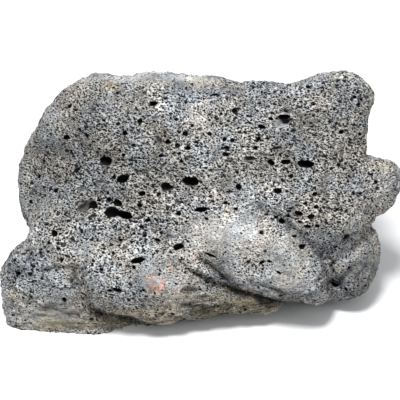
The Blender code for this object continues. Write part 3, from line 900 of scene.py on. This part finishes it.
def calc(tree, operation, *values, clamp=False):
    node = put(tree, "ShaderNodeMath", operation=operation, use_clamp=clamp)
    for socket, value in zip(node.inputs, values):
        feed(tree, socket, value)
    return node.outputs[0]


def weigh_up(tree, total, *parts):
    """A total and, added to it, each part times its weight."""
    for part, weight in parts:
        total = calc(tree, "MULTIPLY_ADD", part, weight, total)
    return total


def vector_calc(tree, operation, *values):
    """Vector arithmetic; a dot product or a length gives a number."""
    node = put(tree, "ShaderNodeVectorMath", operation=operation)
    for socket, value in zip(node.inputs, values):
        feed(tree, socket, value)
    return node.outputs["Value" if operation in ("DOT_PRODUCT", "LENGTH") else "Vector"]


def blend(tree, share, under, over, mode="MIX"):
    node = put(tree, "ShaderNodeMix", data_type="RGBA", blend_type=mode)
    feed(tree, node.inputs["Factor"], share)
    feed(tree, node.inputs["A"], under)
    feed(tree, node.inputs["B"], over)
    return node.outputs["Result"]


def ease_between(tree, value, low, high):
    """0 up to low, 1 from high, and a smooth step between."""
    node = put(tree, "ShaderNodeMapRange", interpolation_type="SMOOTHSTEP")
    for socket, item in zip(node.inputs, (value, low, high, 0.0, 1.0)):
        feed(tree, socket, item)
    return node.outputs[0]


def attribute(tree, name):
    return put(tree, "ShaderNodeAttribute", attribute_name=name).outputs


def mapped(tree, where, turn=(0, 0, 0), scale=(1, 1, 1)):
    """Coordinates turned by three angles, in degrees, or else drawn out by three factors."""
    node = put(tree, "ShaderNodeMapping", vector_type="POINT")
    feed(tree, node.inputs["Vector"], where)
    node.inputs["Rotation"].default_value = [math.radians(angle) for angle in turn]
    node.inputs["Scale"].default_value = scale
    return node.outputs[0]


def grain(tree, where, size, detail, rough):
    """Noise whose blotches are about the given size across, in millimetres, from 0 to 1."""
    node = put(tree, "ShaderNodeTexNoise")
    feed(tree, node.inputs["Vector"], where)
    node.inputs["Scale"].default_value = 1 / MM / size
    node.inputs["Detail"].default_value = detail
    node.inputs["Roughness"].default_value = rough
    return node.outputs["Fac"]


# Burst bubbles of the finish, painted dark for the shade in them, in three sizes: how far apart,
# least and largest half width, both in millimetres, how rare the large ones are, and the share that
# is missing.
SMALL_PITS = (
    (3.7, 0.41, 1.28, 2, 0.08),
    (2.05, 0.37, 0.79, 1, 0.15),
    (1.34, 0.26, 0.5, 1, 0.35),
)
PIT_EDGE = (-0.06, 0.09)  # where a pit goes from light to dark, in millimetres inside its rim
LIP_EDGE = (-0.45, 0.1)  # where its lip starts to bow, and where it ends
MISSING_EDGE = 0.12


def small_pits(tree, where, normal, pores, spacing, smallest, largest, rarity, missing):
    """Burst bubbles of one size, one to a cell: how dark their painted shade is, and the bowed lips round
    them.
    """
    cells = put(tree, "ShaderNodeTexVoronoi", feature="F1")
    feed(tree, cells.inputs["Vector"], where)
    cells.inputs["Scale"].default_value = 1 / MM / spacing
    draw = put(tree, "ShaderNodeSeparateColor")
    feed(tree, draw.inputs[0], cells.outputs["Color"])
    size = calc(tree, "POWER", draw.outputs[0], rarity)
    size = calc(tree, "MULTIPLY_ADD", size, largest - smallest, smallest)
    size = calc(tree, "MULTIPLY", size, calc(tree, "POWER", pores, 0.5))
    away = vector_calc(tree, "SUBTRACT", where, cells.outputs["Position"])
    length = vector_calc(tree, "LENGTH", away)
    along = vector_calc(tree, "DOT_PRODUCT", away, normal)
    along = calc(tree, "MULTIPLY", along, along)
    across = calc(tree, "SUBTRACT", calc(tree, "MULTIPLY", length, length), along, clamp=True)
    across = calc(tree, "MULTIPLY", calc(tree, "SQRT", across), 1 / MM)
    inside = calc(tree, "SUBTRACT", size, across)
    pit = ease_between(tree, inside, *PIT_EDGE)
    lip = ease_between(tree, inside, *LIP_EDGE)
    there = ease_between(tree, draw.outputs[1], missing - MISSING_EDGE, missing + MISSING_EDGE)
    return calc(tree, "MULTIPLY", pit, there), calc(tree, "MULTIPLY", lip, there)


stone_finish, tree, shader = new_finish("basalt")
where = put(tree, "ShaderNodeTexCoord").outputs["Object"]
normal = put(tree, "ShaderNodeTexCoord").outputs["Normal"]

# The grains are turned off the axes; the small pits slant and are squashed as the flow drew them.
PIT_SLANT = (0, -16, 0)
THREAD_STRETCH = 0.10
turned = mapped(tree, where, turn=(40, 29, 52))
bubbly = mapped(tree, mapped(tree, where, turn=PIT_SLANT), scale=(0.78, 0.95, 1.3))
facing = mapped(tree, normal, turn=PIT_SLANT)
flowing = mapped(tree, where, scale=(0.16, 0.5, 1.0))
rope = put(tree, "ShaderNodeSeparateXYZ")
feed(tree, rope.inputs[0], attribute(tree, "rope")["Vector"])
thread = put(tree, "ShaderNodeCombineXYZ")
feed(tree, thread.inputs[0], calc(tree, "MULTIPLY", rope.outputs[0], THREAD_STRETCH))
feed(tree, thread.inputs[1], rope.outputs[1])

fine = grain(tree, turned, 0.9, 2.0, 0.7)
mottle = grain(tree, turned, 4.5, 4.0, 0.6)
patchy = grain(tree, turned, 18.0, 3.0, 0.6)
warmth = grain(tree, turned, 24.0, 4.0, 0.55)
streaky = grain(tree, flowing, 1.3, 3.0, 0.6)
thready = grain(tree, thread.outputs[0], 1.3 / MM, 3.0, 0.6)  # the ropes' own places are in millimetres

# The small pits stand in clumps, which follow the mottling and the patches.
LEAST_CLUMP = 0.45
MOST_PORES = 1.2
clumps = weigh_up(tree, -1.05, (patchy, 1.6), (mottle, 2.6))
clumps = calc(tree, "MAXIMUM", clumps, LEAST_CLUMP)
pores = calc(tree, "MULTIPLY", attribute(tree, "pores")["Fac"], clumps)
pores = calc(tree, "MINIMUM", pores, MOST_PORES)
pits = lips = 0.0
for sizes in SMALL_PITS:
    pit, lip = small_pits(tree, bubbly, facing, pores, *sizes)
    pits = calc(tree, "MAXIMUM", pits, pit)
    lips = calc(tree, "MAXIMUM", lips, lip)

# The walls between them, from dark to light: grain and mottling swing about zero and show most where
# there are many pores; patches, rims painted light as highlights on the pits' lips, streaks and
# threads come on top.
TONE_SHIFT = 0.36
# Painted highlight: the lips round the small pits are made lighter.
rim_highlights = calc(tree, "SUBTRACT", lips, pits, clamp=True)
grainy = weigh_up(tree, -1.05, (fine, 1.35), (mottle, 0.75))
shown = weigh_up(tree, 0.6, (pores, 0.45))
tone = calc(tree, "SUBTRACT", calc(tree, "MULTIPLY", grainy, shown), TONE_SHIFT)
streaks = calc(tree, "MULTIPLY", weigh_up(tree, -0.65, (streaky, 1.3)), attribute(tree, "streaks")["Fac"])
threads = calc(tree, "MULTIPLY", calc(tree, "SUBTRACT", thready, 0.5), rope.outputs[2])
lines = weigh_up(tree, streaks, (threads, 1.4))
tone = weigh_up(tree, tone, (patchy, 1.8), (rim_highlights, 0.34), (lines, 1.8))

WALL_TONES = (
    (0.1, (0.135, 0.135, 0.133, 1)),
    (0.5, (0.434, 0.433, 0.425, 1)),
    (0.9, (0.63, 0.627, 0.616, 1)),
)
WARM_EDGE = (0.38, 0.62)
COOL_CAST = (0.97, 0.997, 1.028, 1)
WARM_CAST = (1.036, 0.998, 0.942, 1)
COOL_TINGE = (0.002, 0.006, 0.012, 1)
WARM_TINGE = (0.014, 0.007, 0.0, 1)
ramp = put(tree, "ShaderNodeValToRGB")
feed(tree, ramp.inputs[0], tone)
stops = ramp.color_ramp.elements
stops.new(0.5)
for stop, (position, colour) in zip(stops, WALL_TONES):
    stop.position = position
    stop.color = colour
warm = ease_between(tree, warmth, *WARM_EDGE)
walls = blend(tree, 1.0, ramp.outputs[0], blend(tree, warm, COOL_CAST, WARM_CAST), "MULTIPLY")
walls = blend(tree, 1.0, walls, blend(tree, warm, COOL_TINGE, WARM_TINGE), "ADD")

# Stains, and the painted shade of wrinkles and grooves, tint the walls, with ragged edges.
STAIN_EDGE = (0.05, 0.9)
STAIN_GAIN = (2.6, 2.6, 2.6, 1)  # so that a mid grey stain leaves the walls as light as they are
stain_and_shade = attribute(tree, "stain_and_shade")
ragged = weigh_up(tree, stain_and_shade["Alpha"], (calc(tree, "SUBTRACT", mottle, 0.5), 1.6))
cover = calc(tree, "MULTIPLY", ease_between(tree, ragged, *STAIN_EDGE), stain_and_shade["Alpha"])
tinted = blend(tree, 1.0, walls, stain_and_shade["Color"], "MULTIPLY")
walls = blend(tree, cover, walls, blend(tree, 1.0, tinted, STAIN_GAIN, "MULTIPLY"))
# Painted light and shade: the shade zones, with the stone's own tone, make the walls lighter or darker.
shade = calc(tree, "ADD", attribute(tree, "shade")["Fac"], 1.0)
lit = put(tree, "ShaderNodeCombineColor")
for socket in lit.inputs:
    feed(tree, socket, shade)
walls = blend(tree, 1.0, walls, lit.outputs[0], "MULTIPLY")

# Painted shade: pits and vesicles are near black inside, the deeper the darker, for the shadow in
# them and partly for a dark lining.
CAVITY_EDGE = (0.15, 1.6)  # depth in millimetres at which a vesicle starts to darken, and is dark
HOLE_SHADE_COVER = 0.99
HOLE_SHADE_COLOUR = (0.010, 0.010, 0.011, 1)
cavity_shade = ease_between(tree, attribute(tree, "pit_depth")["Fac"], *CAVITY_EDGE)
dark = calc(tree, "SUBTRACT", 1.0, attribute(tree, "pit_light")["Fac"])
hole_shade = calc(tree, "MAXIMUM", pits, calc(tree, "MULTIPLY", cavity_shade, dark))
colour = blend(tree, calc(tree, "MULTIPLY", hole_shade, HOLE_SHADE_COVER), walls, HOLE_SHADE_COLOUR)
feed(tree, shader.inputs["Base Color"], colour)
shader.inputs["Roughness"].default_value = 0.93
shader.inputs["Specular IOR Level"].default_value = 0.05

# Relief in millimetres: the lips bow in; grain, mottling and lines stand out.
relief = weigh_up(tree, 0.0, (fine, 0.6), (lips, -0.8), (mottle, 1.2), (lines, 1.6))
bump = put(tree, "ShaderNodeBump")
bump.inputs["Strength"].default_value = 1.0
bump.inputs["Distance"].default_value = 1.0 * MM
feed(tree, bump.inputs["Height"], relief)
feed(tree, shader.inputs["Normal"], bump.outputs[0])

SHARP_FROM = math.radians(48)
surface_fields(stone.data, whole, vesicles)
stone.data.materials.clear()
stone.data.materials.append(stone_finish)
stone.data.shade_smooth()
stone.data.set_sharp_from_angle(angle=SHARP_FROM)
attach(stone, "root")
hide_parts("lava_rock")

# ---- Floor, light and camera -----------------------------------------------------------------------
# A plain pale floor, soft light from above and in front, and the camera that looks down on the face.
FLOOR_SIDE = 6.0
VIEW_DISTANCE = EYE_DISTANCE * MM
VIEW_WIDTH = 300 * MM  # what the frame takes in at the face's middle
SENSOR = 36.0
LIT_POINT = (0, 0, 0.06)

bm = bmesh.new()
bmesh.ops.create_grid(bm, x_segments=1, y_segments=1, size=FLOOR_SIDE / 2)
floor = mesh_object(bm, "floor")
floor_finish, tree, shader = new_finish("pale_floor")
shader.inputs["Base Color"].default_value = (0.86, 0.86, 0.86, 1)
shader.inputs["Roughness"].default_value = 0.9
floor.data.materials.append(floor_finish)

sky = bpy.data.worlds.new("studio")
sky.use_nodes = True
sky.node_tree.nodes["Background"].inputs["Color"].default_value = (0.93, 0.96, 1.0, 1)
sky.node_tree.nodes["Background"].inputs["Strength"].default_value = 0.55
bpy.context.scene.world = sky


def soft_light(name, place, size, power):
    lamp = bpy.data.lights.new(name, "AREA")
    lamp.shape = "DISK"
    lamp.size = size
    lamp.energy = power
    obj = add_object(name, lamp)
    obj.location = place
    obj.rotation_euler = (Vector(LIT_POINT) - Vector(place)).to_track_quat("-Z", "Y").to_euler()


soft_light("key", (-0.25, -0.5, 1.8), 0.6, 42)
soft_light("fill", (1.4, -1.0, 0.9), 1.2, 5)

lens = bpy.data.cameras.new("view")
lens.sensor_width = SENSOR
lens.lens = SENSOR * VIEW_DISTANCE / VIEW_WIDTH
camera = add_object("view", lens)
camera.location = on_face(0, 0, EYE_DISTANCE)
camera.rotation_euler = (-Vector(FACE_AXES[2])).to_track_quat("-Z", "Y").to_euler()
bpy.context.scene.camera = camera
bpy.context.scene.view_settings.view_transform = "Standard"
